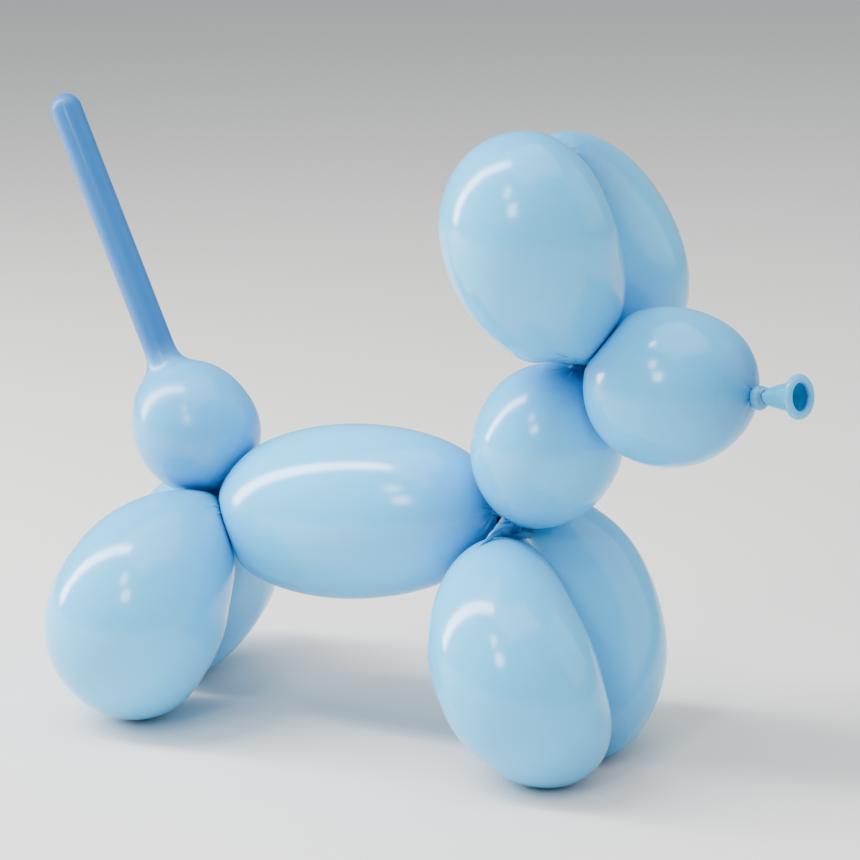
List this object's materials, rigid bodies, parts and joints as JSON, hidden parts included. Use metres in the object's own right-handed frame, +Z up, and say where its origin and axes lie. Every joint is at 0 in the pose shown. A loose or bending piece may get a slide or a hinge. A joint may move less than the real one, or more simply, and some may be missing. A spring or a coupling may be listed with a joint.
{
  "type": "balloon poodle",
  "caption": "Modelling balloon twisted into a standing poodle with round ears, legs and snout, a knotted nozzle and a thin upright tail.",
  "frame": {"origin": "on the floor under the middle of the poodle's outline, seen from above", "axes": "+X towards the nose, +Y to the poodle's left, +Z up"},
  "size_m": [0.2842, 0.1292, 0.2096],
  "materials": {
    "latex": "pale blue stretched latex, smooth with a soft gloss"
  },
  "bodies": {
    "root": {"balloon": "latex"}
  },
  "joints": []
}
